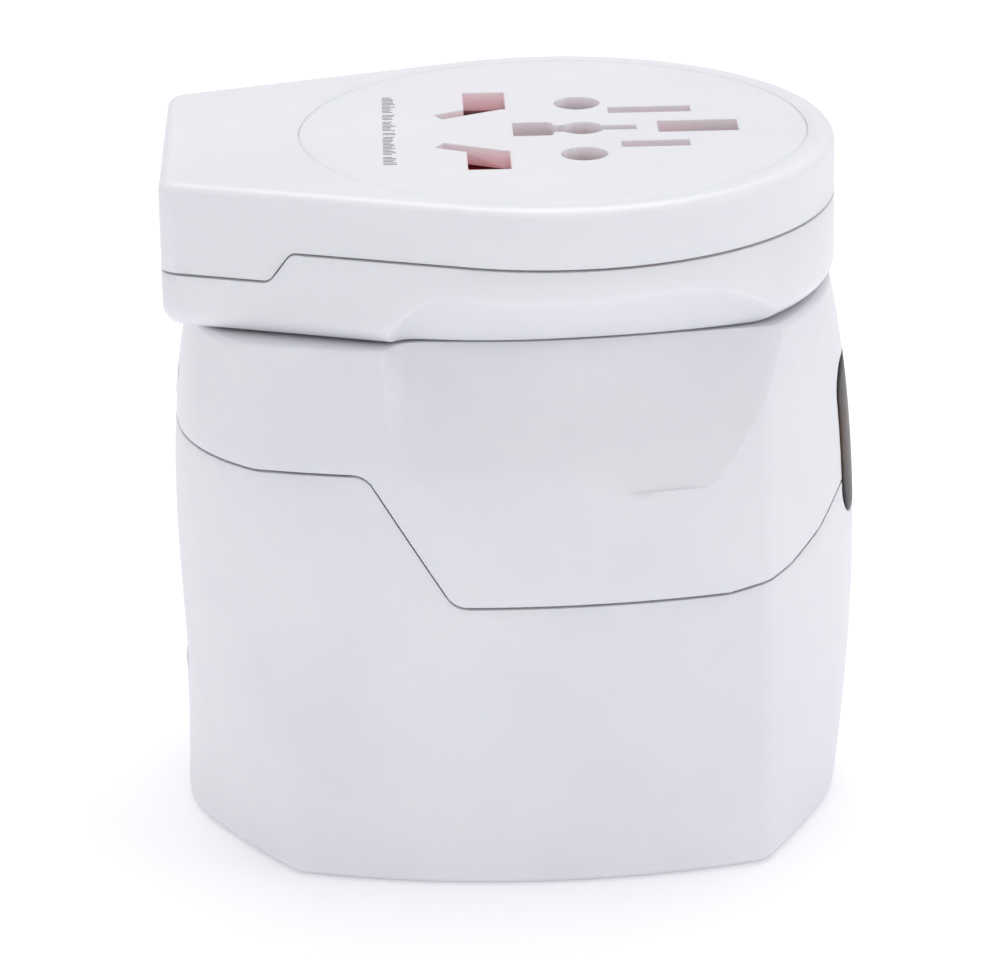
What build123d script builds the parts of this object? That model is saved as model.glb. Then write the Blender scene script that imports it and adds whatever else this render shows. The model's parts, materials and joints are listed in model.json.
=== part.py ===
from build123d import *
from math import atan, atan2, hypot, tan
import os
os.makedirs("parts", exist_ok=True)

# All sizes in millimetres. X runs from the wedge end (-) to the round end (+), Z is up and
# Y = 0 is the mid plane.

# ---- clearances and walls ----
gap = 0.3                # between parts that move apart
seam = 0.3               # visible parting line between two halves of a shell
wall = 2.4               # body shell
lip = 0.8                # tongue behind a parting line
pin_fit = 0.05           # running clearance of a round pin in its sleeve
floor_t = 2.0

# ---- standard plug dimensions ----
euro_pin_r = 2.4
euro_pin_y = 9.5
euro_pin_len = 19.0
uk_pitch = 22.23
uk_pin_w, uk_pin_t = 6.35, 4.0
uk_earth_w, uk_earth_t = 8.0, 4.0
uk_pin_out = 17.9
uk_earth_out = 22.9
blade_w, blade_t = 6.35, 1.5
blade_out = 17.5
blade_y = 6.35

# ---- overall levels ----
body_top = 58.1
head_bottom = body_top + gap
head_top = 73.8
head_x, head_r = 4.55, 29.5      # round end of the head
base_round, rim_round = 1.3, 0.8
# at the base and at the rim: left tip, right tip, left corner, left bulge, right bulge and tuck
base_ends = (-36.1, 34.5, -24.2, 0.4, 0.2, 0.0)
rim_ends = (-34.0, 33.7, -28.2, 1.2, 0.55, 1.9)
axis_x = 7.45                    # centre of the round plug, its sleeves and the round top holes
head_wall = 2.0
cover_t = 2.0
plate_t = 2.0                    # bottom plate of the head


def ring_section(height, left, right, left_corner, left_bulge, right_bulge, tuck, inset, corner_r):
    """One closed outline of the body, symmetric about Y = 0; the bulges bow the slanted sides outwards
    and tuck draws the front and the back in."""
    side_y, bow_y = 24.6 - tuck - inset, 28.5 - tuck - inset
    end_y = 10.0 - 0.3 * inset
    left, right = left + inset, right - inset
    left_corner = left_corner + 0.58 * inset     # keeps the slanted walls as thick as the flat ones
    right_corner = 25.5 - 0.58 * inset

    def end_depth(reach, bulge):
        """Depth of an end's bow for which a slanted side runs into it without a kink."""
        depth = 1.0
        for _ in range(12):
            run_x, run_y = reach - depth, side_y - end_y
            turn = atan2(run_x, run_y) - 2 * atan(2 * bulge / hypot(run_x, run_y))
            depth = max(0.1, end_y * tan(turn / 2))
        return depth

    def slant(start, end, bulge):
        run = Vector(*end) - Vector(*start)
        middle = (Vector(*end) + Vector(*start)) / 2 + Vector(run.Y, -run.X).normalized() * bulge
        ThreePointArc(start, (middle.X, middle.Y), end)

    left_end = left + end_depth(left_corner - left, left_bulge)
    right_end = right - end_depth(right - right_corner, right_bulge)
    with BuildSketch(Plane.XY.offset(height)) as outline:
        with BuildLine():
            ThreePointArc((left_corner, -side_y), (0, -bow_y), (right_corner, -side_y))
            slant((right_corner, -side_y), (right_end, -end_y), right_bulge)
            ThreePointArc((right_end, -end_y), (right, 0), (right_end, end_y))
            slant((right_end, end_y), (right_corner, side_y), right_bulge)
            ThreePointArc((right_corner, side_y), (0, bow_y), (left_corner, side_y))
            slant((left_corner, side_y), (left_end, end_y), left_bulge)
            ThreePointArc((left_end, end_y), (left, 0), (left_end, -end_y))
            slant((left_end, -end_y), (left_corner, -side_y), left_bulge)
        make_face()
        fillet(outline.vertices().filter_by(lambda v: abs(v.Y) > 15), corner_r)
    return outline.sketch


def body_form(inset, corner_r):
    """The body as one barrel-shaped solid between its rounded edges, its faces moved inwards by inset."""
    with BuildPart() as form:
        loft([ring_section(base_round, *base_ends, inset, corner_r),
              ring_section(29, -36.3, 36.3, -25.8, 1.5, 0.5, 0.0, inset, corner_r),
              ring_section(48, -35.7, 35.2, -27.3, 1.6, 0.5, 0.4, inset, corner_r),
              ring_section(body_top - rim_round, *rim_ends, inset, corner_r)])
    return form.part


def edge_band(height, ends, step, size, corner_r):
    """Rounded edge at one end of the body, in three straight-sided steps."""
    with BuildPart() as band:
        loft([ring_section(height, *ends, 0, corner_r),
              ring_section(height + 0.5 * step, *ends, 0.13 * size, corner_r - 0.13 * size),
              ring_section(height + 0.85 * step, *ends, 0.47 * size, corner_r - 0.47 * size),
              ring_section(height + step, *ends, size, corner_r - size)], ruled=True)
    return band.part


def head_form(inset, low, high):
    """Teardrop outline of the head: a circle with a flat-ended wedge tangent to it."""
    with BuildSketch(Plane.XY.offset(low)) as outline:
        with BuildLine():
            Polyline((-36.3, -16.9), (-36.3, 16.9), (-5.0, 27.9), (-5.0, -27.9), close=True)
        make_face()
        with Locations((head_x, 0)):
            Circle(head_r)
        fillet(outline.vertices().filter_by(lambda v: v.X < -30), 2.5)
        if inset > 0:
            offset(amount=-inset, mode=Mode.REPLACE)
    with BuildPart() as form:
        add(outline.sketch)
        extrude(amount=high - low)
    return form.part


def above_line(points, line_round, depth=40.0):
    """Everything above a profile line drawn in the XZ plane, with its inner corners rounded."""
    with BuildSketch(Plane.XZ.offset(-depth)) as region:
        with BuildLine():
            Polyline(*points, (60, 120), (-60, 120), close=True)
        make_face()
        fillet(region.vertices().filter_by(lambda v: abs(v.X) < 40), line_round)
    with BuildPart() as block:
        extrude(region.sketch, amount=2 * depth, dir=(0, -1, 0))
    return block.part


def body_split(shift):
    """Parting surface of the body: high on the left, a diagonal, then low and curving up to the button."""
    return above_line([(-60, 45.5 + shift), (-15.9, 45.3 + shift), (-7.1, 31.1 + shift), (21.3, 31.1 + shift),
                       (28.0, 32.4 + shift), (31.5, 34.2 + shift), (60, 64.2 + shift)], 2.5)


def head_split(shift):
    """Parting surface of the head: a small S-step near the wedge end."""
    return above_line([(-60, 64.3 + shift), (-25.2, 64.3 + shift),
                       (-22.9, 67.5 + shift), (60, 67.5 + shift)], 1.2)


def scoop(levels):
    """Soft finger recess for the front: each level is a height and the points of a smooth back wall,
    which starts and ends outside the wall that it is cut from."""
    sheets = []
    for height, *points in levels:
        with BuildSketch(Plane.XY.offset(height)) as sheet:
            with BuildLine():
                Spline(*points)
                Polyline(points[-1], (points[-1][0], -40), (points[0][0], -40), points[0])
            make_face()
        sheets.append(sheet.sketch)
    with BuildPart() as cutter:
        loft(sheets)
    return cutter.part


def box_between(low, high):
    """Axis-aligned box from its low corner to its high corner."""
    size = [b - a for a, b in zip(low, high)]
    middle = [(a + b) / 2 for a, b in zip(low, high)]
    with Locations(tuple(middle)):
        Box(*size)


def rod(x, y, low, high, radius, mode=Mode.ADD):
    """Upright cylinder between two heights."""
    with Locations((x, y, (low + high) / 2)):
        Cylinder(radius, high - low, mode=mode)


def cut_box(low, high):
    """Remove an axis-aligned box."""
    size = [b - a for a, b in zip(low, high)]
    middle = [(a + b) / 2 for a, b in zip(low, high)]
    with Locations(tuple(middle)):
        Box(*size, mode=Mode.SUBTRACT)


# ---- dimensions of the body ----
deck_t = 2.0
deck_low = body_top - deck_t
cup_r_in, cup_wall = 19.3, 1.7
cup_r_out = cup_r_in + cup_wall
cup_floor_top, cup_floor_t = 41.4, 2.0
cup_low = cup_floor_top - cup_floor_t
sleeve_r_out = 3.2
plug_r = 18.3
plug_low = cup_floor_top + gap
pin_low = plug_low - euro_pin_len
pad_t = 2.4

# slide channel for the two-blade carriage, in the left end
left_floor_x = -34.5
left_half, left_low, left_high = 5.5, 16.0, 50.0
us_travel = 19.0
us_x = -19.8
us_low = floor_t + 0.2 + us_travel
us_t = 4.5
neck_r, disc_r = 3.8, 4.7
us_stem_low, us_stem_high = 41.0, 46.0

# slide channel for the three-pin carriage, in the back
back_x, back_floor_y = 6.5, 26.4
back_half, back_low, back_high = 6.5, 9.0, 45.5
uk_travel = 23.5
uk_low = floor_t + 0.2 + uk_travel
uk_t = 4.0
uk_line_x = 0.0
uk_earth_x = uk_line_x + uk_pitch
uk_stem_low, uk_stem_high = 36.5, 41.5
stem_half = 1.5
pin_gap = 0.4

# release button in the right end
button_half, button_low, button_high, button_corner = 9.0, 32.8, 49.4, 3.5
flange_x0, flange_x1, flange_edge = 29.75, 30.35, 0.5

# screws
post_spots = [(-21.5, -18.8), (-21.5, 18.8), (23.3, -18.6), (23.3, 18.6)]
post_r, upper_post_r, access_r, screw_r, screw_head_r = 3.1, 2.1, 2.2, 1.15, 2.0
post_meet, screw_seat, screw_top = 30.7, 26.5, 46.0
head_posts = [(-28.0, -9.0), (-28.0, 9.0), (28.9, 0.0)]

# ---- shared forms ----
with BuildPart() as whole_body:
    add(body_form(0, 3.0))
    add(edge_band(base_round, base_ends, -base_round, base_round, 3.0))
    add(edge_band(body_top - rim_round, rim_ends, rim_round, rim_round, 3.0))
body_outer = whole_body.part
body_inner = body_form(wall, 1.5)
body_lip_inner = body_form(wall + lip, 1.0)
body_above = body_split(seam / 2)
body_above_low = body_split(-seam / 2)
head_above = head_split(seam / 2)
head_above_low = head_split(-seam / 2)
# height, then the recess wall from its left end to its right end
body_scoop = scoop([
    (43, (-15.0, -30.2), (-13.0, -28.6), (-11.0, -28.3), (-8.0, -28.6),
     (6.0, -28.8), (21.5, -26.4), (26.5, -28.5)),
    (50, (-15.4, -29.4), (-13.7, -27.4), (-11.9, -26.5), (-8.0, -26.4),
     (6.0, -26.4), (22.5, -23.9), (28.5, -26.6)),
    (60, (-16.0, -28.2), (-14.1, -25.0), (-12.1, -21.9), (-8.0, -21.6),
     (6.0, -22.0), (22.0, -19.8), (31.5, -17.4))])
head_scoop = scoop([
    (57, (-16.4, -27.6), (-14.1, -24.4), (-11.9, -21.4), (-8.0, -21.4),
     (6.0, -21.6), (21.0, -19.5), (31.5, -15.5)),
    (61.3, (-14.8, -28.6), (-12.6, -26.0), (-10.5, -24.6), (-7.0, -25.1),
     (6.0, -26.3), (21.0, -22.5), (30.0, -20.0)),
    (63.6, (-13.0, -29.6), (-10.9, -27.2), (-8.6, -26.5), (-5.0, -27.4),
     (6.0, -28.9), (21.0, -24.7), (28.5, -23.5)),
    (65.3, (-12.5, -31.4), (-10.4, -29.0), (-8.0, -28.6), (-5.0, -29.3),
     (6.0, -30.8), (21.0, -26.8), (28.0, -26.0))])

with BuildPart() as channels:
    box_between((left_floor_x - 8, -left_half, left_low), (left_floor_x, left_half, left_high))
    box_between((left_floor_x - 1, -stem_half - pin_gap, us_stem_low - us_travel - pin_gap),
                (left_floor_x + 5, stem_half + pin_gap, us_stem_high + pin_gap))
    box_between((back_x - back_half, back_floor_y, back_low),
                (back_x + back_half, back_floor_y + 8, back_high))
    box_between((back_x - stem_half - pin_gap, back_floor_y - 5, uk_stem_low - uk_travel - pin_gap),
                (back_x + stem_half + pin_gap, back_floor_y + 1, uk_stem_high + pin_gap))

with BuildPart() as channel_pads:
    box_between((left_floor_x - 0.1, -8.5, 12), (left_floor_x + pad_t, 8.5, 54))
    box_between((back_x - 9.5, back_floor_y - pad_t, 1), (back_x + 9.5, back_floor_y + 0.1, 51))

with BuildPart() as front_pad:
    with BuildSketch(Plane.XY.offset(45)):
        with BuildLine():
            Polyline((-16, -30), (-16, -19.8), (27, -16.8), (30, -30), close=True)
        make_face()
    extrude(amount=body_top - 1 - 45)
    add(body_inner, mode=Mode.INTERSECT)

with BuildPart() as deck:
    box_between((-45, -35, deck_low), (45, 35, body_top - rim_round))
    add(body_inner, mode=Mode.INTERSECT)

with BuildPart() as floor_plate:
    box_between((-45, -35, base_round), (45, 35, floor_t))
    add(body_inner, mode=Mode.INTERSECT)

with BuildPart() as panel_hole:
    with BuildSketch(Plane.YZ.offset(28.2)):
        with Locations((0, (button_low + button_high) / 2)):
            RectangleRounded(2 * (button_half + gap), button_high - button_low + 2 * gap, button_corner + gap)
    extrude(amount=12)

with BuildPart() as flange_pocket:
    box_between((flange_x0 - 3, -button_half - flange_edge - gap, button_low - 2 * flange_edge - gap),
                (flange_x1 + gap, button_half + flange_edge + gap, button_high + 2 * flange_edge + gap))

with BuildPart() as lip_ring:
    box_between((-45, -35, 27), (45, 35, 49))
    add(body_inner, mode=Mode.INTERSECT)
    add(body_lip_inner, mode=Mode.SUBTRACT)
    cut_box((left_floor_x - 3, -9, 20), (left_floor_x + 5, 9, 60))
    cut_box((back_x - 10, back_floor_y - 4, 20), (back_x + 10, back_floor_y + 4, 60))
    cut_box((27, -button_half - 2, button_low - 2), (40, button_half + 2, button_high + 2))
    add(front_pad.part, mode=Mode.SUBTRACT)
    for x, y in post_spots:
        rod(x, y, 20, 60, upper_post_r + 0.4, Mode.SUBTRACT)

# ---- body shells ----
with BuildPart() as body_upper_shell:
    add(body_outer)
    add(body_inner, mode=Mode.SUBTRACT)
    add(channel_pads.part)
    add(front_pad.part)
    add(deck.part)
    for x, y in post_spots:
        rod(x, y, post_meet, body_top - 1, upper_post_r)
        rod(x, y, post_meet, screw_top + 1, screw_r, Mode.SUBTRACT)
    add(body_above, mode=Mode.INTERSECT)
    add(body_outer, mode=Mode.INTERSECT)
    add(body_scoop, mode=Mode.SUBTRACT)
    add(channels.part, mode=Mode.SUBTRACT)
    add(panel_hole.part, mode=Mode.SUBTRACT)
    add(flange_pocket.part, mode=Mode.SUBTRACT)
    rod(axis_x, 0, 30, 70, cup_r_out + 0.02, Mode.SUBTRACT)

with BuildPart() as body_lower_shell:
    add(body_outer)
    add(body_inner, mode=Mode.SUBTRACT)
    add(channel_pads.part)
    add(floor_plate.part)
    for x, y in post_spots:
        rod(x, y, 0.5, post_meet, post_r)
    add(body_above_low, mode=Mode.SUBTRACT)
    add(lip_ring.part)
    add(body_outer, mode=Mode.INTERSECT)
    add(channels.part, mode=Mode.SUBTRACT)
    add(panel_hole.part, mode=Mode.SUBTRACT)
    add(flange_pocket.part, mode=Mode.SUBTRACT)
    for x, y in post_spots:
        rod(x, y, -1, screw_seat, access_r, Mode.SUBTRACT)
        rod(x, y, 0, post_meet + 1, screw_r, Mode.SUBTRACT)
    for side in (-1, 1):
        y = side * uk_pitch / 2
        cut_box((uk_line_x - uk_pin_t / 2 - pin_gap, y - uk_pin_w / 2 - pin_gap, -1),
                (uk_line_x + uk_pin_t / 2 + pin_gap, y + uk_pin_w / 2 + pin_gap, floor_t + 1))
        rod(us_x, side * blade_y, -1, floor_t + 1, neck_r + 0.35, Mode.SUBTRACT)
    cut_box((uk_earth_x - uk_earth_w / 2 - pin_gap, -uk_earth_t / 2 - pin_gap, -1),
            (uk_earth_x + uk_earth_w / 2 + pin_gap, uk_earth_t / 2 + pin_gap, floor_t + 1))

with BuildPart() as body_screws:
    for x, y in post_spots:
        rod(x, y, screw_seat - 2, screw_seat, screw_head_r)
        rod(x, y, screw_seat, screw_top, screw_r)
        with Locations((x, y, screw_seat - 2)):
            Box(2.6, 0.6, 1.2, mode=Mode.SUBTRACT)
            Box(0.6, 2.6, 1.2, mode=Mode.SUBTRACT)

# ---- socket cup with sleeves for the round plug ----
with BuildPart() as socket_cup:
    rod(axis_x, 0, cup_low, body_top, cup_r_out)
    rod(axis_x, 0, cup_floor_top, body_top + 1, cup_r_in, Mode.SUBTRACT)
    fillet(socket_cup.edges().group_by(Axis.Z)[-1], 0.5)
    for side in (-1, 1):
        rod(axis_x, side * euro_pin_y, cup_low - 1, body_top, sleeve_r_out, Mode.SUBTRACT)
        x = axis_x + side * 18.87
        cut_box((x - 0.25, -2.6, cup_low - 1), (x + 0.25, 2.6, cup_floor_top + 1))

with BuildPart() as cup_sleeves:
    for side in (-1, 1):
        rod(axis_x, side * euro_pin_y, pin_low - 1.1, cup_floor_top - 0.1, sleeve_r_out)
        rod(axis_x, side * euro_pin_y, pin_low - gap, cup_floor_top + 1, euro_pin_r + pin_fit, Mode.SUBTRACT)

with BuildPart() as cup_earth_clips:
    for side in (-1, 1):
        x = axis_x + side * 18.87
        box_between((x - 0.22, -2.5, 37.2), (x + 0.22, 2.5, 56))

# ---- fuse, its clips and the bus bars ----
fuse_z, fuse_half, fuse_r = 34.6, 12.7, 3.175
cap_len = 5.5
bar_low, bar_high = 38.6, 39.2
rail_x0, rail_x1 = -7.8, -7.2

with BuildPart() as fuse_body:
    with Locations(Location((axis_x, 0, fuse_z), (0, 90, 0))):
        Cylinder(fuse_r - 0.25, 2 * (fuse_half - cap_len))

with BuildPart() as fuse_caps:
    for side in (-1, 1):
        with Locations(Location((axis_x + side * (fuse_half - cap_len / 2), 0, fuse_z), (0, 90, 0))):
            Cylinder(fuse_r, cap_len)
    cap_rims = fuse_caps.edges().filter_by(GeomType.CIRCLE)
    fillet(cap_rims.filter_by(lambda e: abs(e.center().X - axis_x) > 12), 0.6)

with BuildPart() as fuse_clips:
    for side in (-1, 1):
        x = axis_x + side * (fuse_half - cap_len / 2)
        box_between((x - 2.4, -3.85, 32.6), (x + 2.4, 3.85, bar_low))
        cut_box((x - 3, -3.25, 32), (x + 3, 3.25, fuse_z + fuse_r + 0.05))

with BuildPart() as live_busbar:
    rod(axis_x, -euro_pin_y, bar_low, bar_high, sleeve_r_out + 1.6)
    box_between((axis_x, -10.5, bar_low), (19.7, -8.5, bar_high))
    box_between((15.0, -10.5, bar_low), (19.7, 3.5, bar_high))
    rod(axis_x, -euro_pin_y, 38, 40, sleeve_r_out, Mode.SUBTRACT)

with BuildPart() as fused_busbar:
    box_between((rail_x0, -2, bar_low), (-0.1, 2, bar_high))
    box_between((rail_x0, -2, 6), (rail_x1, 2, bar_high))

with BuildPart() as neutral_busbar:
    rod(axis_x, euro_pin_y, bar_low, bar_high, sleeve_r_out + 1.6)
    box_between((rail_x0, 11.8, bar_low), (axis_x, 13.8, bar_high))
    box_between((rail_x0, 11.8, 6), (rail_x1, 15.8, bar_high))
    rod(axis_x, euro_pin_y, 38, 40, sleeve_r_out, Mode.SUBTRACT)

with BuildPart() as earth_busbar:
    rod(axis_x, 0, 36.6, 37.2, 19.3)
    rod(axis_x, 0, 36, 38, 17.5, Mode.SUBTRACT)
    cut_box((-20, 2.5, 36), (40, 30, 38))

# ---- release button ----
with BuildPart() as release_button:
    with BuildSketch(Plane.YZ.offset(flange_x1)):
        with Locations((0, (button_low + button_high) / 2)):
            RectangleRounded(2 * button_half, button_high - button_low, button_corner)
    extrude(amount=10)
    add(body_outer, mode=Mode.INTERSECT)
    box_between((flange_x0, -button_half - flange_edge, button_low - 2 * flange_edge),
                (flange_x1, button_half + flange_edge, button_high + 2 * flange_edge))
    cut_box((flange_x0 - 1, -button_half + 1.5, button_low + 1.5), (33.9, button_half - 1.5, button_high - 1.5))

with BuildPart() as button_spring:
    for side in (-1, 1):
        box_between((28.05, side * 7.0 - 1.5, 40), (28.35, side * 7.0 + 1.5, deck_low))

# ---- three-pin carriage ----
riser_y0, riser_y1 = 21.6, 23.7
with BuildPart() as uk_carriage:
    with BuildSketch(Plane.XY.offset(uk_low)):
        with BuildLine():
            Polyline((-5.5, -15.3), (9, -15.3), (27.3, -6),
                     (27.3, 6), (9, 15.3), (-5.5, 15.3), close=True)
        make_face()
    extrude(amount=uk_t)
    fillet(uk_carriage.edges().filter_by(Axis.Z), 1.5)
    box_between((back_x - 4, 14, uk_low), (back_x + 4, riser_y1, uk_low + uk_t))
    box_between((back_x - 4, riser_y0, uk_low), (back_x + 4, riser_y1, uk_stem_high))
    for side in (-1, 1):
        rod(axis_x, side * euro_pin_y, uk_low - 1, uk_low + uk_t + 1, sleeve_r_out + 0.5, Mode.SUBTRACT)
        y = side * uk_pitch / 2
        cut_box((uk_line_x - uk_pin_t / 2, y - uk_pin_w / 2, uk_low - 1),
                (uk_line_x + uk_pin_t / 2, y + uk_pin_w / 2, uk_low + uk_t + 1))
    cut_box((uk_earth_x - uk_earth_w / 2, -uk_earth_t / 2, uk_low - 1),
            (uk_earth_x + uk_earth_w / 2, uk_earth_t / 2, uk_low + uk_t + 1))

pin_top = uk_low + uk_t + 0.6
with BuildPart() as uk_line_neutral_pins:
    for side in (-1, 1):
        y = side * uk_pitch / 2
        box_between((uk_line_x - uk_pin_t / 2, y - uk_pin_w / 2, uk_low - floor_t - 0.2 - uk_pin_out),
                    (uk_line_x + uk_pin_t / 2, y + uk_pin_w / 2, pin_top))
    chamfer(uk_line_neutral_pins.edges().group_by(Axis.Z)[0], 0.8)

with BuildPart() as uk_earth_pin:
    box_between((uk_earth_x - uk_earth_w / 2, -uk_earth_t / 2, uk_low - floor_t - 0.2 - uk_earth_out),
                (uk_earth_x + uk_earth_w / 2, uk_earth_t / 2, pin_top))
    chamfer(uk_earth_pin.edges().group_by(Axis.Z)[0], 0.8)

with BuildPart() as uk_knob:
    box_between((back_x - back_half + gap, back_floor_y + 0.25, 33),
                (back_x + back_half - gap, back_floor_y + 1.3, 45))
    fillet(uk_knob.edges().filter_by(Axis.Y), 1.5)
    box_between((back_x - stem_half, riser_y1, uk_stem_low),
                (back_x + stem_half, back_floor_y + 1, uk_stem_high))
    for z in (35.4, 37.8, 40.2, 42.6):
        box_between((back_x - 4, back_floor_y + 1, z - 0.45), (back_x + 4, back_floor_y + 1.9, z + 0.45))

# ---- two-blade carriage ----
disc_low = us_low + 1.1
with BuildPart() as us_carriage:
    box_between((-27, -12, us_low), (-13.6, 12, us_low + us_t))
    fillet(us_carriage.edges().filter_by(Axis.Z), 1.5)
    box_between((-31.9, -1.5, us_low), (-26, 1.5, us_low + us_t))
    box_between((-31.9, -1.5, us_low), (-30.0, 1.5, us_stem_high))
    for side in (-1, 1):
        rod(us_x, side * blade_y, us_low - 1, us_low + us_t, neck_r + pin_fit, Mode.SUBTRACT)
        rod(us_x, side * blade_y, disc_low - 0.1, us_low + us_t + 1, disc_r + pin_fit, Mode.SUBTRACT)

with BuildPart() as us_retainer:
    box_between((-27, -12, us_low + us_t), (-13.6, 12, us_low + us_t + 1.2))
    fillet(us_retainer.edges().filter_by(Axis.Z), 1.5)

with BuildPart() as us_knob:
    box_between((left_floor_x - 1.0, -left_half + gap, 37.5), (left_floor_x - 0.25, left_half - gap, 49.5))
    fillet(us_knob.edges().filter_by(Axis.X), 1.5)
    box_between((left_floor_x - 0.9, -stem_half, us_stem_low), (-31.9, stem_half, us_stem_high))


def turret(side):
    """Round turret that turns in the carriage, with its neck below, slotted for the blade."""
    with BuildPart() as made:
        rod(us_x, side * blade_y, us_low - floor_t - 0.2, us_low + 2, neck_r)
        rod(us_x, side * blade_y, disc_low, us_low + us_t - 0.1, disc_r)
        cut_box((us_x - blade_w / 2, side * blade_y - blade_t / 2, us_low - 5),
                (us_x + blade_w / 2, side * blade_y + blade_t / 2, us_low + us_t + 1))
    return made.part


def blade(side):
    """Flat blade held by its turret."""
    with BuildPart() as made:
        box_between((us_x - blade_w / 2, side * blade_y - blade_t / 2, us_low - floor_t - 0.2 - blade_out),
                    (us_x + blade_w / 2, side * blade_y + blade_t / 2, us_low + us_t - 0.1))
        chamfer(made.edges().group_by(Axis.Z)[0], 0.5)
    return made.part


# ---- head: cover, base and the round plug under it ----
head_outer = head_form(0, head_bottom, head_top)
cover_inner = head_form(head_wall, head_bottom - 1, head_top - cover_t)
base_inner = head_form(head_wall, head_bottom + plate_t, head_top - cover_t)
lip_outer = head_form(head_wall, head_bottom + plate_t, 69.3)
lip_inner = head_form(head_wall + lip, head_bottom + plate_t - 1, 70)

with BuildPart() as slot_cuts:
    with BuildSketch(Plane.XY.offset(head_top - cover_t - 1)) as openings:
        for side in (-1, 1):
            with Locations((axis_x, side * euro_pin_y)):
                Circle(euro_pin_r + pin_fit)
            with Locations((-2.425, side * 11.05)):
                Rectangle(4.45, 6.7)
            with Locations((-4.0, side * 7.1)):
                Rectangle(7.8, 2.0, rotation=side * 28)
        with Locations((2.45, 0)):
            Rectangle(4.2, 5.0)
        with Locations((5.6, 0)):
            Rectangle(3.0, 2.5)
        with Locations((7.65, 0)):
            Circle(2.3)
        with Locations((11.0, 0)):
            Rectangle(4.6, 1.7)
        with Locations((15.0, 6.57)):
            Rectangle(8.75, 2.25)
        with Locations((15.0, -6.22)):
            Rectangle(7.1, 2.25)
        with Locations((19.75, 0)):
            Rectangle(8.4, 4.2)
        fillet(openings.vertices().filter_by(lambda v: abs(v.X - 4.55) < 0.01 and abs(v.Y) < 3), 0.5)
    extrude(amount=cover_t + 3)

# round socket face let into the cover, on a ledge
face_r, face_edge, ledge_r = 26.7, 0.25, 24.0
with BuildPart() as socket_face:
    rod(head_x, 0, head_top - cover_t, head_top, face_r)
    chamfer(socket_face.edges().group_by(Axis.Z)[-1], face_edge)
    for side in (-1, 1):
        box_between((-12, side * 16.1 - 0.5, 68.8), (5, side * 16.1 + 0.5, head_top - 1))
    add(slot_cuts.part, mode=Mode.SUBTRACT)

with BuildPart() as ledge:
    rod(head_x, 0, head_top - cover_t - 1.2, head_top - cover_t, face_r + 2)
    rod(head_x, 0, 60, head_top, ledge_r, Mode.SUBTRACT)
    add(cover_inner, mode=Mode.INTERSECT)

with BuildPart() as head_lip:
    add(lip_outer)
    add(lip_inner, mode=Mode.SUBTRACT)

with BuildPart() as head_pad:
    with BuildSketch(Plane.XY.offset(head_bottom + plate_t)):
        with BuildLine():
            Polyline((-14, -40), (-14, -20.8), (8, -20.0), (27, -17.4), (30, -40), close=True)
        make_face()
    extrude(amount=65.6 - head_bottom - plate_t)
    add(cover_inner, mode=Mode.INTERSECT)

with BuildPart() as cover_posts:
    for x, y in head_posts:
        rod(x, y, head_bottom + plate_t, head_top - cover_t, 2.0)
        rod(x, y, head_bottom, 68.5, screw_r, Mode.SUBTRACT)

with BuildPart() as head_cover:
    add(head_outer)
    fillet(head_cover.edges().group_by(Axis.Z)[-1], 1.2)
    add(cover_inner, mode=Mode.SUBTRACT)
    add(head_above, mode=Mode.INTERSECT)
    rod(head_x, 0, head_top - cover_t, head_top + 1, face_r + 0.02, Mode.SUBTRACT)
    add(ledge.part)
    add(cover_posts.part)

with BuildPart() as head_base:
    add(head_outer)
    fillet(head_base.edges().group_by(Axis.Z)[0], 2.2)
    add(base_inner, mode=Mode.SUBTRACT)
    add(head_pad.part)
    add(head_above_low, mode=Mode.SUBTRACT)
    add(head_lip.part)
    add(head_scoop, mode=Mode.SUBTRACT)
    rod(axis_x, 0, 50, head_bottom + plate_t, plug_r + 0.02, Mode.SUBTRACT)
    for x, y in head_posts:
        rod(x, y, 50, head_bottom + 1.4, 2.3, Mode.SUBTRACT)
        rod(x, y, 50, head_bottom + 3, screw_r + 0.1, Mode.SUBTRACT)

with BuildPart() as head_screws:
    for x, y in head_posts:
        rod(x, y, head_bottom + 0.2, head_bottom + 1.4, 2.1)
        rod(x, y, head_bottom + 1.4, 68, screw_r)
        with Locations((x, y, head_bottom + 0.4)):
            Box(2.6, 0.6, 1.0, mode=Mode.SUBTRACT)
            Box(0.6, 2.6, 1.0, mode=Mode.SUBTRACT)

plug_flange_r, plug_flange_high = 19.1, 61.6
contact_low = 62.0
with BuildPart() as plug_insert:
    rod(axis_x, 0, plug_low, plug_flange_high, plug_r)
    fillet(plug_insert.edges().group_by(Axis.Z)[0], 0.8)
    rod(axis_x, 0, head_bottom + plate_t, plug_flange_high, plug_flange_r)
    for side in (-1, 1):
        rod(axis_x, side * euro_pin_y, plug_low - 1, plug_flange_high + 1, euro_pin_r, Mode.SUBTRACT)
        x = axis_x + side * 18.3
        cut_box((x - 1.0, -2.8, plug_low - 1), (x + 1.0, 2.8, plug_flange_high + 1))

with BuildPart() as plug_pins:
    for side in (-1, 1):
        rod(axis_x, side * euro_pin_y, pin_low, contact_low, euro_pin_r)
    fillet(plug_pins.edges().group_by(Axis.Z)[0], 1.2)

with BuildPart() as plug_earth_clips:
    for side in (-1, 1):
        x = axis_x + side * 17.65
        box_between((x - 0.25, -2.6, plug_low + 0.6), (x + 0.25, 2.6, contact_low))

# ---- contacts and shutter inside the head ----
jaw_high = 68.6
leaf = 0.4


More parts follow.
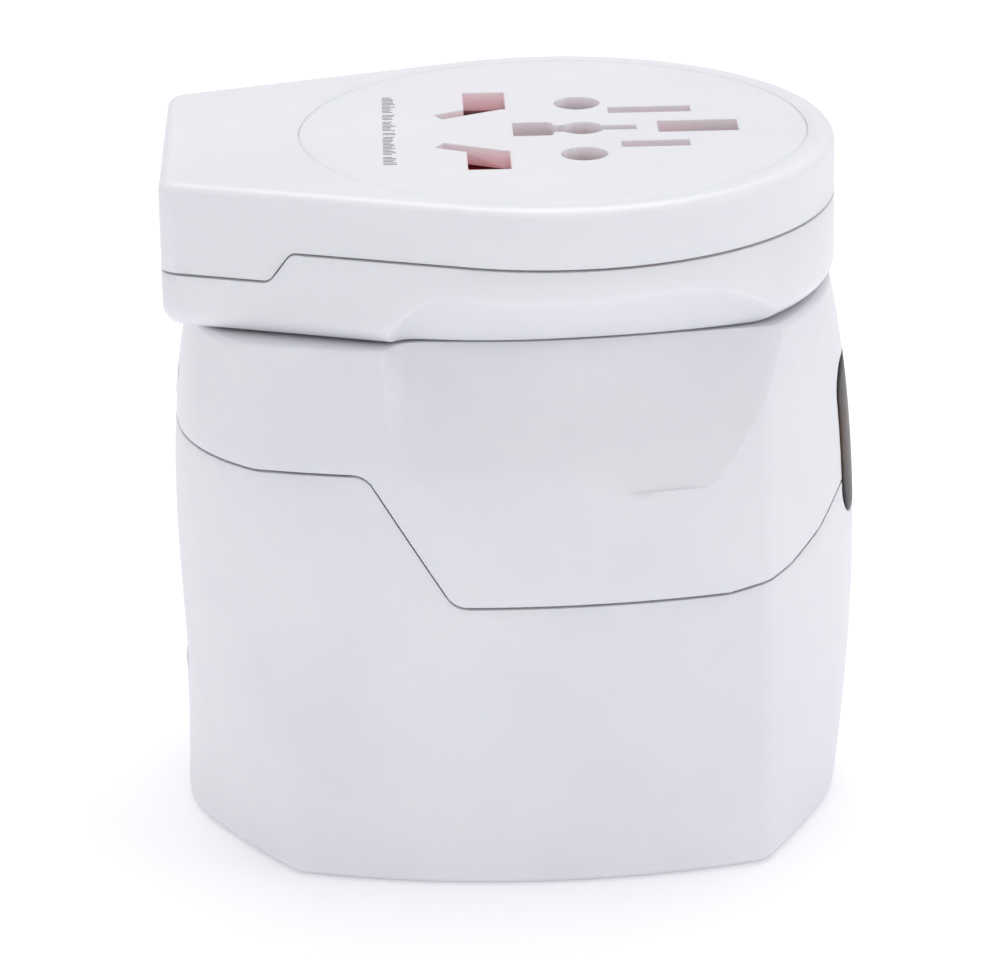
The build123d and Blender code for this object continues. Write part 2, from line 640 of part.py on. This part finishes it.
def pole_contact(side):
    """Strip with a pair of leaves under each flat slot and a tube under the round hole."""
    with BuildPart() as made:
        lows, highs = sorted((side * 5.6, side * 14.5))
        box_between((-6, lows, contact_low), (19, highs, contact_low + 0.6))
        for x in (-4.75, -0.1):
            lows, highs = sorted((side * 8.5, side * 13.5))
            box_between((x - leaf / 2, lows, contact_low), (x + leaf / 2, highs, jaw_high))
        for shift in (-1.3, 1.3):
            y = side * 6.45 + shift
            box_between((12.6, y - leaf / 2, contact_low), (17.4, y + leaf / 2, jaw_high))
        rod(axis_x, side * euro_pin_y, contact_low, jaw_high, 2.9)
        rod(axis_x, side * euro_pin_y, contact_low + 0.6, jaw_high + 1, euro_pin_r + pin_fit, Mode.SUBTRACT)
    return made.part


with BuildPart() as earth_contact:
    box_between((axis_x - 18.0, -1.8, contact_low), (axis_x + 18.0, 1.8, contact_low + 0.6))
    box_between((16.4, -2.8, contact_low), (23.2, 2.8, contact_low + 0.6))
    for side in (-1, 1):
        y = side * 2.4
        box_between((16.6, y - leaf / 2, contact_low), (23.0, y + leaf / 2, jaw_high))
    rod(7.65, 0, contact_low, jaw_high, 2.5)
    rod(7.65, 0, contact_low + 0.6, jaw_high + 1, 2.1, Mode.SUBTRACT)

shutter_low, shutter_high = 69.4, 71.2
with BuildPart() as shutter:
    box_between((-6.0, -15.2, shutter_low), (0.9, 15.2, shutter_high))
    fillet(shutter.edges().filter_by(Axis.Z), 0.8)
    for side in (-1, 1):
        box_between((0, side * 3.9 - 0.7, shutter_low), (15.2, side * 3.9 + 0.7, shutter_high))
    box_between((14.6, -4.6, shutter_low), (18.2, 4.6, shutter_high))
    chamfer(shutter.edges().filter_by(Axis.Y).group_by(Axis.X)[-1].sort_by(Axis.Z)[-1], 1.2)

with BuildPart() as shutter_spring:
    for side in (-1, 1):
        box_between((-12.5, side * 6.0 - 2.0, 67.5), (-12.2, side * 6.0 + 2.0, head_top - cover_t))

# ---- names and files ----
pieces = {
    "body_upper_shell": body_upper_shell.part, "body_lower_shell": body_lower_shell.part,
    "body_screws": body_screws.part, "socket_cup": socket_cup.part, "cup_sleeves": cup_sleeves.part,
    "cup_earth_clips": cup_earth_clips.part, "fuse_body": fuse_body.part, "fuse_caps": fuse_caps.part,
    "fuse_clips": fuse_clips.part, "live_busbar": live_busbar.part, "fused_busbar": fused_busbar.part,
    "neutral_busbar": neutral_busbar.part, "earth_busbar": earth_busbar.part,
    "release_button": release_button.part, "button_spring": button_spring.part,
    "uk_carriage": uk_carriage.part, "uk_line_neutral_pins": uk_line_neutral_pins.part,
    "uk_earth_pin": uk_earth_pin.part, "uk_knob": uk_knob.part,
    "us_carriage": us_carriage.part, "us_retainer": us_retainer.part, "us_knob": us_knob.part,
    "turret_front": turret(-1), "turret_back": turret(1), "blade_front": blade(-1), "blade_back": blade(1),
    "head_cover": head_cover.part, "socket_face": socket_face.part, "head_base": head_base.part,
    "head_screws": head_screws.part,
    "plug_insert": plug_insert.part, "plug_pins": plug_pins.part, "plug_earth_clips": plug_earth_clips.part,
    "live_contact": pole_contact(-1), "neutral_contact": pole_contact(1), "earth_contact": earth_contact.part,
    "shutter": shutter.part, "shutter_spring": shutter_spring.part,
}
for name, piece in pieces.items():
    piece.label = name
    export_step(piece, f"parts/{name}.step")
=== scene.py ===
import json
import math
import bpy
import numpy as np
from mathutils import Matrix, Vector


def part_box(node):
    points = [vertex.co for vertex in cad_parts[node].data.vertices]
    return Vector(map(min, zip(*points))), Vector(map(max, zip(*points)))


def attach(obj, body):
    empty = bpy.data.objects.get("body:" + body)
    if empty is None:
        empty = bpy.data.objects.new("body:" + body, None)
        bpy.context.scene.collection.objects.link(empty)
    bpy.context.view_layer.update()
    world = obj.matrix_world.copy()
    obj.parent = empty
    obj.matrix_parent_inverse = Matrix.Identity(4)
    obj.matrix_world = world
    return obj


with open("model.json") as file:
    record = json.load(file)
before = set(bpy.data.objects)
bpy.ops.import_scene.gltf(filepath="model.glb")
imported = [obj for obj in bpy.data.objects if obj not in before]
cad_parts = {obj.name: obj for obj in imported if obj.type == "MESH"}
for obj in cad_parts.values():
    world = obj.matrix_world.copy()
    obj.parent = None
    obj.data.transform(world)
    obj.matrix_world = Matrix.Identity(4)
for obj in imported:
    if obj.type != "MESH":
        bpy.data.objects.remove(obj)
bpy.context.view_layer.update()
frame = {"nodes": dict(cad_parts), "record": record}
nodes = frame["nodes"]
print("stage: frame loaded")


# one socket, so that shader maths reads as plain expressions
class Sock:
    def __init__(self, graph, out):
        self.graph = graph
        self.out = out

    def maths(self, operation, first, second):
        return self.graph.node("ShaderNodeMath", {"operation": operation}, {0: first, 1: second})

    def __add__(self, other):
        return self.maths("ADD", self, other)

    def __radd__(self, other):
        return self.maths("ADD", other, self)

    def __sub__(self, other):
        return self.maths("SUBTRACT", self, other)

    def __rsub__(self, other):
        return self.maths("SUBTRACT", other, self)

    def __mul__(self, other):
        return self.maths("MULTIPLY", self, other)

    def __rmul__(self, other):
        return self.maths("MULTIPLY", other, self)


# one material's node tree
class Graph:
    def __init__(self, name):
        self.material = bpy.data.materials.new(name)
        self.material.use_nodes = True
        self.tree = self.material.node_tree
        self.tree.nodes.clear()

    # a node of one kind: its settings first, then the value or link of each of its inputs
    def node(self, kind, settings=None, values=None, output=0):
        made = self.tree.nodes.new(kind)
        for key, value in (settings or {}).items():
            setattr(made, key, value)
        for key, value in (values or {}).items():
            if isinstance(value, Sock):
                self.tree.links.new(value.out, made.inputs[key])
            else:
                made.inputs[key].default_value = value
        return Sock(self, made.outputs[output])

    def place(self):
        return self.node("ShaderNodeTexCoord", output="Object")

    def noise(self, scale, detail, roughness, at=None):
        values = {"Vector": at or self.place(), "Scale": scale, "Detail": detail, "Roughness": roughness}
        return self.node("ShaderNodeTexNoise", {"noise_dimensions": "3D"}, values)

    # 0 below low, 1 above high, smooth between
    def step(self, value, low, high):
        return self.node("ShaderNodeMapRange", {"interpolation_type": "SMOOTHSTEP"},
                         {"Value": value, "From Min": low, "From Max": high})

    # inputs 6 and 7 of a Mix node are its colours, and output 2 is the mixed colour
    def mix(self, factor, first, second):
        return self.node("ShaderNodeMix", {"data_type": "RGBA"}, {0: factor, 6: first, 7: second}, output=2)

    def axis(self, index):
        return self.node("ShaderNodeSeparateXYZ", values={0: self.place()}, output=index)

    def bump(self, height, strength, distance):
        return self.node("ShaderNodeBump",
                         values={"Strength": strength, "Distance": distance, "Height": height})

    # the surface shader, its inputs named with _ for each space
    def finish(self, **values):
        names = {key.replace("_", " "): value for key, value in values.items()}
        shader = self.node("ShaderNodeBsdfPrincipled", values=names)
        end = self.tree.nodes.new("ShaderNodeOutputMaterial")
        self.tree.links.new(shader.out, end.inputs["Surface"])
        return self.material


# camera: its place and its three axes in the object's frame, in metres; lens and sensor in millimetres
cameraLook = {"place": (-0.0136, -0.5106, 0.2220), "right": (0.99946, -0.02907, -0.01519),
              "up": (0.0243, 0.3433, 0.9389), "back": (-0.0221, -0.9388, 0.3438), "lens": 182.3,
              "sensor": 36.0, "near": 0.01, "far": 20.0}


def makeCamera(look):
    data = bpy.data.cameras.new("camera")
    data.lens = look["lens"]
    data.sensor_width = look["sensor"]
    data.clip_start = look["near"]
    data.clip_end = look["far"]
    camera = bpy.data.objects.new("camera", data)
    bpy.context.scene.collection.objects.link(camera)
    turn = Matrix((look["right"], look["up"], look["back"])).transposed().to_4x4()
    camera.matrix_world = Matrix.Translation(look["place"]) @ turn
    bpy.context.scene.camera = camera


# round soft lamps: place and size in metres, power in watts
lightLook = {
    "left": {"place": (-1.0, -0.35, 0.6), "size": 0.8, "power": 0.9, "tint": (1.0, 0.99, 0.99)},
    "right": {"place": (1.05, -0.35, 0.4), "size": 0.7, "power": 1.45, "tint": (1.0, 0.99, 0.99)},
    "top": {"place": (0.05, 0.25, 1.1), "size": 1.0, "power": 6.1, "tint": (1.0, 1.0, 1.0)},
    "front": {"place": (0.1, -0.8, 0.75), "size": 0.7, "power": 1.1, "tint": (1.0, 0.99, 1.0)}}
studioLook = {"tint": (0.965, 0.965, 1.0, 1.0), "strength": 0.565, "look": "Standard",
              "aim": (0.0, 0.0, 0.037)}


def makeLights(lights, studio):
    for name, look in lights.items():
        data = bpy.data.lights.new(name, "AREA")
        data.shape = "DISK"
        data.size = look["size"]
        data.energy = look["power"]
        data.color = look["tint"]
        lamp = bpy.data.objects.new(name, data)
        bpy.context.scene.collection.objects.link(lamp)
        # the lamp's -Z looks at the middle of the object
        away = Vector(look["place"]) - Vector(studio["aim"])
        lamp.rotation_euler = away.to_track_quat("Z", "Y").to_euler()
        lamp.location = look["place"]
    world = bpy.data.worlds.new("studio")
    world.use_nodes = True
    sky = world.node_tree.nodes["Background"].inputs
    sky["Color"].default_value = studio["tint"]
    sky["Strength"].default_value = studio["strength"]
    bpy.context.scene.world = world
    bpy.context.scene.view_settings.view_transform = studio["look"]


# mesh object at the origin, its place in its points
def makeObject(name, points, faces, smooth=True):
    mesh = bpy.data.meshes.new(name)
    mesh.from_pydata(np.asarray(points, float).reshape(-1, 3).tolist(), [], [tuple(face) for face in faces])
    mesh.update()
    mesh.polygons.foreach_set("use_smooth", np.full(len(mesh.polygons), smooth))
    made = bpy.data.objects.new(name, mesh)
    bpy.context.scene.collection.objects.link(made)
    return made


# quads joining neighbours of a rows x columns grid of points whose last column meets its first;
# with loop its last row meets its first too
def gridFaces(rows, columns, loop=False):
    row, column = np.meshgrid(np.arange(rows if loop else rows - 1), np.arange(columns), indexing="ij")
    nextRow, nextColumn = (row + 1) % rows, (column + 1) % columns
    corners = [row * columns + column, row * columns + nextColumn,
               nextRow * columns + nextColumn, nextRow * columns + column]
    return np.stack([c.ravel() for c in corners], axis=1)


floorLook = {"half": 3.0, "gap": 0.00005, "tone": (0.9, 0.9, 0.92, 1.0), "rough": 0.8, "glow": 0.2}


# flat square just under the base
def makeFloor(look):
    half = look["half"]
    points = [(x, y, -look["gap"]) for x, y in ((-half, -half), (half, -half), (half, half), (-half, half))]
    floor = makeObject("floor", points, [(0, 1, 2, 3)], False)
    floor.data.materials.append(Graph("paleFloor").finish(Base_Color=look["tone"], Roughness=look["rough"],
                                                          Emission_Color=look["tone"],
                                                          Emission_Strength=look["glow"]))


# moulded plastics: two tones, roughness, scale of the fine grain, and how much light goes under the surface
mouldLook = {
    "whiteShell": {"tone": (0.80, 0.80, 0.83), "shade": (0.76, 0.76, 0.80), "rough": 0.36,
                   "grain": 2600.0, "depth": 0.25},
    "whiteHead": {"tone": (0.82, 0.82, 0.845), "shade": (0.79, 0.79, 0.82), "rough": 0.34,
                  "grain": 2600.0, "depth": 0.55},
    "blackMould": {"tone": (0.022, 0.022, 0.024), "shade": (0.012, 0.012, 0.013), "rough": 0.42,
                   "grain": 2200.0, "depth": 0.0},
    "redMould": {"tone": (0.60, 0.018, 0.02), "shade": (0.42, 0.01, 0.012), "rough": 0.35,
                 "grain": 2200.0, "depth": 0.1},
    "ceramic": {"tone": (0.78, 0.76, 0.70), "shade": (0.68, 0.65, 0.58), "rough": 0.6,
                "grain": 1500.0, "depth": 0.1}}
mouldSurface = {"cloud": 38.0, "smear": 170.0, "smearRough": 0.05, "grainRough": 0.06, "bump": 0.12,
                "relief": 0.00004, "scatter": 0.0016, "scatterTint": (1.0, 0.72, 0.8)}

# the row of strokes on the top face, in metres, and painted light on the walls of the openings below it: a
# paler, pinker colour standing in for light passing through the white plastic
printAndWallLightLook = {"x": (-0.0133, -0.0119), "y": (-0.0120, 0.0137), "pitch": 0.00052, "stroke": 0.5, "uneven": 0.45,
             "missing": 0.14, "shift": 71.5, "tone": (0.12, 0.11, 0.15, 1.0),
             "wall": (0.97, 0.88, 0.91, 1.0), "wallTop": (0.0006, 0.0001)}


# printed row of generic strokes: one bar in each pitch along Y; white noise on the number of the pitch sets
# the length of its bar and leaves some out
def strokeMask(graph, look):
    across, along = graph.axis(0), graph.axis(1)
    steps = along * (1.0 / look["pitch"])
    cell = steps.maths("FLOOR", steps, 0.0)
    chance = graph.node("ShaderNodeTexWhiteNoise", {"noise_dimensions": "1D"}, {"W": cell})
    other = graph.node("ShaderNodeTexWhiteNoise", {"noise_dimensions": "1D"}, {"W": cell + look["shift"]})
    width = look["x"][1] - look["x"][0]
    reach = look["x"][1] - width * look["uneven"] * chance
    inside = [across.maths("GREATER_THAN", across, look["x"][0]), across.maths("LESS_THAN", across, reach),
              along.maths("GREATER_THAN", along, look["y"][0]), along.maths("LESS_THAN", along, look["y"][1]),
              steps.maths("LESS_THAN", steps - cell, look["stroke"]),
              other.maths("GREATER_THAN", other, look["missing"])]
    mask = inside[0]
    for part in inside[1:]:
        mask = mask * part
    return mask


# moulded plastic: fine spark-eroded grain in the bump, slow cloudy changes of tone and gloss,
# and light that spreads a little way under the surface; given the print look, also printed strokes and
# painted light on the walls of the openings
def makeMould(name, look, surface, printAndWallLight=None):
    graph = Graph(name)
    cloud = graph.step(graph.noise(surface["cloud"], 4.0, 0.6), 0.35, 0.7)
    grain = graph.noise(look["grain"], 2.0, 0.6)
    smear = graph.noise(surface["smear"], 5.0, 0.65)
    colour = graph.mix(cloud, (*look["tone"], 1.0), (*look["shade"], 1.0))
    rough = look["rough"] + surface["smearRough"] * (smear - 0.5) + surface["grainRough"] * (grain - 0.5)
    if printAndWallLight:
        # painted light: the walls of the openings are painted paler and pinker than the matt top, standing in
        # for light passing through the white plastic
        wallLow, wallHigh = (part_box("socket_face")[1].z - under for under in printAndWallLight["wallTop"])
        colour = graph.mix(graph.step(graph.axis(2), wallLow, wallHigh), printAndWallLight["wall"], colour)
        colour = graph.mix(strokeMask(graph, printAndWallLight), colour, printAndWallLight["tone"])
    height = grain * 0.7 + smear * 0.3
    return graph.finish(Base_Color=colour, Roughness=rough,
                        Normal=graph.bump(height, surface["bump"], surface["relief"]),
                        Specular_IOR_Level=0.5, Subsurface_Weight=look["depth"],
                        Subsurface_Scale=surface["scatter"], Subsurface_Radius=surface["scatterTint"])


# metals: clean and tarnished tone, roughness
metalLook = {
    "nickel": {"tone": (0.72, 0.71, 0.68), "worn": (0.60, 0.57, 0.50), "rough": 0.24},
    "brass": {"tone": (0.78, 0.57, 0.24), "worn": (0.52, 0.35, 0.13), "rough": 0.32},
    "zincSteel": {"tone": (0.58, 0.59, 0.61), "worn": (0.40, 0.40, 0.40), "rough": 0.38},
    "springSteel": {"tone": (0.46, 0.47, 0.50), "worn": (0.33, 0.30, 0.28), "rough": 0.30}}
metalSurface = {"stretch": (9.0, 9.0, 0.35), "lines": 420.0, "blotch": 260.0, "worn": 0.6, "lineRough": 0.18,
                "wornRough": 0.12, "bump": 0.1, "relief": 0.00003}


# bare metal: drawn lines along Z and blotches of tarnish
def makeMetal(name, look, surface):
    graph = Graph(name)
    drawn = graph.node("ShaderNodeMapping", values={"Vector": graph.place(), "Scale": surface["stretch"]})
    lines = graph.noise(surface["lines"], 3.0, 0.6, drawn)
    blotch = graph.step(graph.noise(surface["blotch"], 4.0, 0.6), 0.45, 0.75)
    colour = graph.mix(blotch * surface["worn"], (*look["tone"], 1.0), (*look["worn"], 1.0))
    rough = look["rough"] + surface["lineRough"] * (lines - 0.5) + surface["wornRough"] * blotch
    return graph.finish(Base_Color=colour, Metallic=1.0, Roughness=rough,
                        Normal=graph.bump(lines, surface["bump"], surface["relief"]))


# rise and fall are where the painted reflection, a warm brown band, starts and ends, as parts of the panel's
# height
glossLook = {"black": (0.006, 0.006, 0.007, 1.0), "paintedReflection": (0.05, 0.026, 0.013, 1.0), "rise": (0.1, 0.5),
             "fall": (0.55, 0.95), "rough": 0.26, "haze": 0.12, "smear": 120.0, "shine": 0.04}


# glossy black panel with a warm painted reflection towards its middle, and faint finger haze
def makeGloss(name, look):
    graph = Graph(name)
    low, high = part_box("release_button")
    up = (graph.axis(2) - low.z) * (1.0 / (high.z - low.z))
    # painted reflection: a warm brown band across the middle of the panel's height
    paintedReflection = graph.step(up, *look["rise"]) * (1.0 - graph.step(up, *look["fall"]))
    haze = graph.step(graph.noise(look["smear"], 5.0, 0.6), 0.4, 0.8)
    return graph.finish(Base_Color=graph.mix(paintedReflection, look["black"], look["paintedReflection"]),
                        Roughness=look["rough"] + look["haze"] * haze, Specular_IOR_Level=look["shine"])


finishes = {name: makeMould(name, look, mouldSurface) for name, look in mouldLook.items()}
finishes.update({name: makeMetal(name, look, metalSurface) for name, look in metalLook.items()})
finishes["blackGloss"] = makeGloss("blackGloss", glossLook)
# the socket face: printed strokes, and painted light on the walls of its openings
finishes["printedFaceAndWallLight"] = makeMould("printedFaceAndWallLight", mouldLook["whiteHead"], mouldSurface, printAndWallLightLook)
print("stage: finishes made")

finishOfSlot = {"white_shell": "whiteShell", "white_head": "whiteHead", "black_plastic": "blackMould",
                "black_gloss": "blackGloss", "red_plastic": "redMould", "brass": "brass", "nickel": "nickel",
                "steel": "zincSteel", "ceramic": "ceramic", "spring_steel": "springSteel"}
slotOfNode = {entry["node"]: entry["material_slot"] for entry in frame["record"]["subparts"]}


# each CAD node gets the finish of its slot, and the socket face the printed one, which also holds the painted
# light on the walls of its openings
def dressNodes():
    for name, made in nodes.items():
        finish = finishes["printedFaceAndWallLight" if name == "socket_face" else finishOfSlot[slotOfNode[name]]]
        if not made.data.materials:
            made.data.materials.append(finish)
        for index in range(len(made.data.materials)):
            made.material_slots[index].material = finish


# width of the rounded edge of each CAD node, in metres
edgeLook = {"head_cover": 0.00035, "socket_face": 0.00018, "head_base": 0.0005, "body_upper_shell": 0.0004,
            "body_lower_shell": 0.00025, "socket_cup": 0.0003, "uk_carriage": 0.0003, "us_carriage": 0.0003,
            "uk_knob": 0.00022, "us_knob": 0.00022, "release_button": 0.0002, "uk_line_neutral_pins": 0.00035,
            "uk_earth_pin": 0.00035, "blade_front": 0.0002, "blade_back": 0.0002, "plug_insert": 0.0003,
            "shutter": 0.0002, "turret_front": 0.0002, "turret_back": 0.0002}
edgeShape = {"merge": 0.000002, "steps": 2, "angle": 22.0}


# small rounded edges on the CAD nodes, whose own meshes stay as they are
def softenEdges(widths, shape):
    for name, width in widths.items():
        weld = nodes[name].modifiers.new("weld", "WELD")
        weld.merge_threshold = shape["merge"]
        bevel = nodes[name].modifiers.new("softEdge", "BEVEL")
        bevel.width = width
        bevel.segments = shape["steps"]
        bevel.limit_method = "ANGLE"
        bevel.angle_limit = math.radians(shape["angle"])
        bevel.harden_normals = True


# half is the flat face under a pad, plate the depth of that face under the knob's bars
gripLook = {"pitch": 0.0024, "foot": 0.0004, "square": 0.28, "margin": 0.0006, "fade": 6.0, "rows": 64,
            "columns": 48, "plate": 0.0006,
            "left": {"half": (0.0052, 0.006), "ridge": 0.00022, "crown": 0.00008},
            "back": {"half": (0.0062, 0.006), "ridge": 0.0004, "crown": 0.0003}}


# ribbed thumb pad on the face of a sliding knob: a rounded rectangle (a superellipse) shrunk from its rim to
# its middle; height = crown * (1 - r^4) + ridge * (0.5 - 0.5 cos) along its length, faded in from the rim
def makeGrip(name, middle, across, outward, body, slot, look, relief):
    across, outward = np.array(across, float), np.array(outward, float)
    half = [edge - look["margin"] for edge in relief["half"]]
    along = np.array((0.0, 0.0, 1.0))
    angle = np.linspace(0.0, 2.0 * np.pi, look["columns"], endpoint=False)
    reach = np.linspace(1.0, 0.0, look["rows"])[:, None]
    u = reach * np.sign(np.cos(angle)) * np.abs(np.cos(angle)) ** look["square"] * half[0]
    v = reach * np.sign(np.sin(angle)) * np.abs(np.sin(angle)) ** look["square"] * half[1]
    wave = 0.5 - 0.5 * np.cos(2.0 * np.pi * v / look["pitch"])
    fade = np.clip((1.0 - reach) * look["fade"], 0.0, 1.0)
    height = relief["crown"] * (1.0 - reach ** 4) + relief["ridge"] * wave * fade
    top = np.array(middle) + u[..., None] * across + v[..., None] * along + height[..., None] * outward
    rings = np.concatenate([top[:1] - look["foot"] * outward, top[:-1]])
    points = np.concatenate([rings.reshape(-1, 3), top[-1, :1]])
    rows, columns = look["rows"], look["columns"]
    column = np.arange(columns)
    lastRing = (rows - 1) * columns + column
    nextRing = (rows - 1) * columns + (column + 1) % columns
    pole = np.stack([lastRing, nextRing, np.full(columns, rows * columns)], axis=1)
    faces = gridFaces(rows, columns).tolist() + pole.tolist() + [column[::-1].tolist()]
    made = makeObject(name, points, faces)
    made.data.materials.append(finishes[finishOfSlot[slot]])
    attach(made, body)


# pinHalf is half a pin's width along Y, pinOut how far the sleeve's top is above the tip
sleeveLook = {"proud": 0.00016, "sink": 0.00015, "length": 0.0092, "corner": 0.00035, "steep": 4.0,
              "columns": 64, "pinHalf": 0.003175, "pinOut": 0.0179}


# thin sleeve on a flat pin: a rounded rectangle carried down the pin, with quarter-round ends, closed
# on itself inside the pin
def makeSleeve(name, middle, half, top, body, slot, look):
    angle = np.linspace(0.0, 2.0 * np.pi, look["columns"], endpoint=False)
    turn = np.linspace(0.0, np.pi / 2, 5)
    proud, sink, corner = look["proud"], look["sink"], look["corner"]
    out = np.concatenate([[-sink], proud * np.sin(turn), proud * np.cos(turn), [-sink]])[:, None]
    down = np.concatenate([[0.0], proud * (1.0 - np.cos(turn)),
                           look["length"] - proud * (1.0 - np.sin(turn)), [look["length"]]])[:, None]
    sides = (middle[0], half[0], np.cos(angle)), (middle[1], half[1], np.sin(angle))
    x, y = (centre + np.clip(wave * look["steep"], -1.0, 1.0) * (size - corner) + (corner + out) * wave
            for centre, size, wave in sides)
    points = np.stack([x, y, top - down + 0.0 * x], axis=-1).reshape(-1, 3)
    made = makeObject(name, points, gridFaces(len(out), look["columns"], True)[:, ::-1])
    made.data.materials.append(finishes[finishOfSlot[slot]])
    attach(made, body)


# one pad on the low-X face of us_knob and one on the plate of uk_knob, under its bars
def makeGrips(look):
    low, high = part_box("us_knob")
    makeGrip("thumbPadLeft", (low.x, 0.0, (low.z + high.z) / 2), (0, -1, 0), (-1, 0, 0), "two_blade_plug",
             slotOfNode["us_knob"], look, look["left"])
    low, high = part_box("uk_knob")
    makeGrip("thumbPadBack", ((low.x + high.x) / 2, high.y - look["plate"], (low.z + high.z) / 2), (-1, 0, 0),
             (0, 1, 0), "three_pin_plug", slotOfNode["uk_knob"], look, look["back"])


# one sleeve on each of the two flat pins that stand at the ends of their node along Y
def makeSleeves(look):
    low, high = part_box("uk_line_neutral_pins")
    half = ((high.x - low.x) / 2, look["pinHalf"])
    for name, y in (("pinSleeveFront", low.y + half[1]), ("pinSleeveBack", high.y - half[1])):
        makeSleeve(name, ((low.x + high.x) / 2, y), half, low.z + look["pinOut"], "three_pin_plug",
                   "black_plastic", look)


dressNodes()
softenEdges(edgeLook, edgeShape)
makeGrips(gripLook)
makeSleeves(sleeveLook)
print("stage: thumb pads and pin sleeves made")
makeCamera(cameraLook)
makeLights(lightLook, studioLook)
makeFloor(floorLook)
print("stage: camera, lights and floor made")
